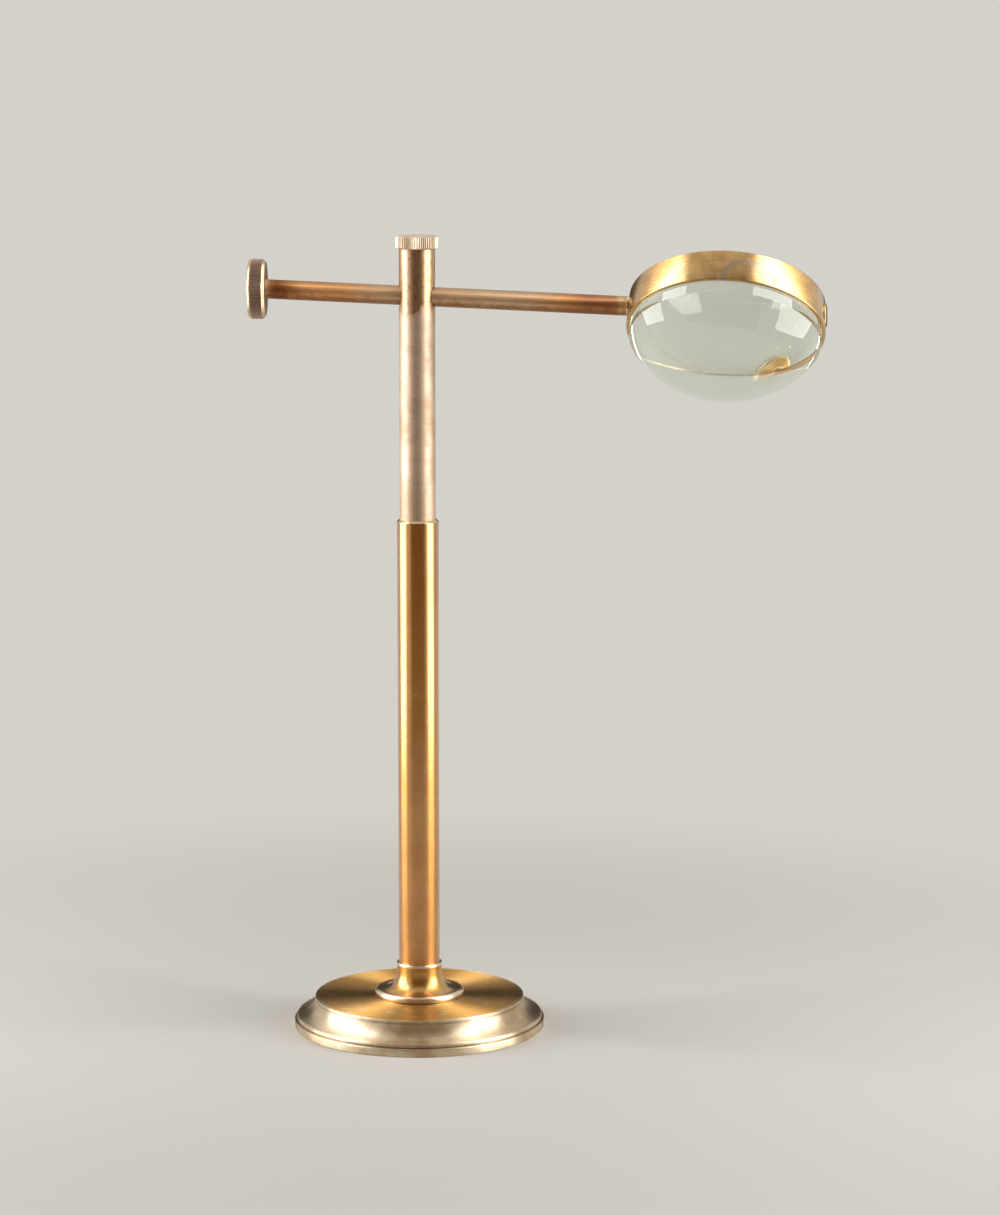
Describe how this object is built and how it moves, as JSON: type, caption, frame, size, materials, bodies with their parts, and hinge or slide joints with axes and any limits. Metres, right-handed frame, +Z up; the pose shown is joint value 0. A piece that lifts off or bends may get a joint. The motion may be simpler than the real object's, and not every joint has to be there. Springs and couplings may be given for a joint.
{
  "type": "bull's-eye condenser",
  "caption": "Free-standing bull's-eye condenser: thick plano-convex lens in a brass cell on an arm that slides and turns in a telescopic pillar, on a weighted round base.",
  "frame": {"origin": "centre of the base's underside, on the pillar's axis", "axes": "+Z up the pillar; +X along the arm towards the lens, which slopes down a little; the lens's curved side faces -Y and down"},
  "size_m": [0.1526, 0.0676, 0.213],
  "materials": {
    "base_brass": "turned and brushed, worn lacquer, scratched",
    "lacquered_brass": "polished and lacquered, warm gold",
    "pale_brass": "handled bare brass, pale, brown patina near the top",
    "tarnished_brass": "tarnished red-brown, satin",
    "knurled_brass": "finely knurled, dull, bright worn edges",
    "turned_brass": "as turned, clean",
    "lead": "dull cast surface",
    "leather": "greased, dark",
    "crown_glass": "clear, polished, faint scratches"
  },
  "bodies": {
    "stand": {"base": "base_brass", "base_weight": "lead", "foot_screw": "turned_brass", "pillar_foot": "lacquered_brass", "outer_tube": "lacquered_brass"},
    "collar": {"friction_collar": "leather"},
    "upper_tube": {"inner_tube": "pale_brass", "tube_plug": "turned_brass", "collar_washer": "turned_brass", "collar_screw": "turned_brass"},
    "cap": {"clamp_cap": "pale_brass"},
    "bolt": {"draw_bolt": "turned_brass"},
    "bush": {"arm_bush": "turned_brass"},
    "arm": {"arm_rod": "tarnished_brass", "end_knob": "knurled_brass", "arm_collar": "pale_brass", "lens_cell": "lacquered_brass", "bullseye_lens": "crown_glass", "retaining_ring": "turned_brass", "cell_screw": "pale_brass"}
  },
  "joints": [
    {"name": "tube_slide", "type": "slide", "parent": "stand", "child": "collar", "axis": [0, 0, 1], "range_m": [-0.055, 0.033]},
    {"name": "tube_turn", "type": "hinge", "parent": "collar", "child": "upper_tube", "pos_m": [0, 0, 0.08], "axis": [0, 0, 1], "continuous": true},
    {"name": "cap_turn", "type": "hinge", "parent": "upper_tube", "child": "cap", "pos_m": [0, 0, 0.2095], "axis": [0, 0, 1], "range_deg": [0, 120]},
    {"name": "bolt_lift", "type": "slide", "parent": "upper_tube", "child": "bolt", "axis": [0, 0, 1], "range_m": [-0.0002, 0]},
    {"name": "arm_turn", "type": "hinge", "parent": "bolt", "child": "bush", "pos_m": [0, 0, 0.19695], "axis": [0.9991, 0, -0.0419], "continuous": true},
    {"name": "arm_slide", "type": "slide", "parent": "bush", "child": "arm", "axis": [0.9991, 0, -0.0419], "range_m": [-0.048, 0.033]}
  ],
  "couplings": [
    {"joint": "cap_turn", "follows": "bolt_lift", "rad_per_m": -10472}
  ]
}
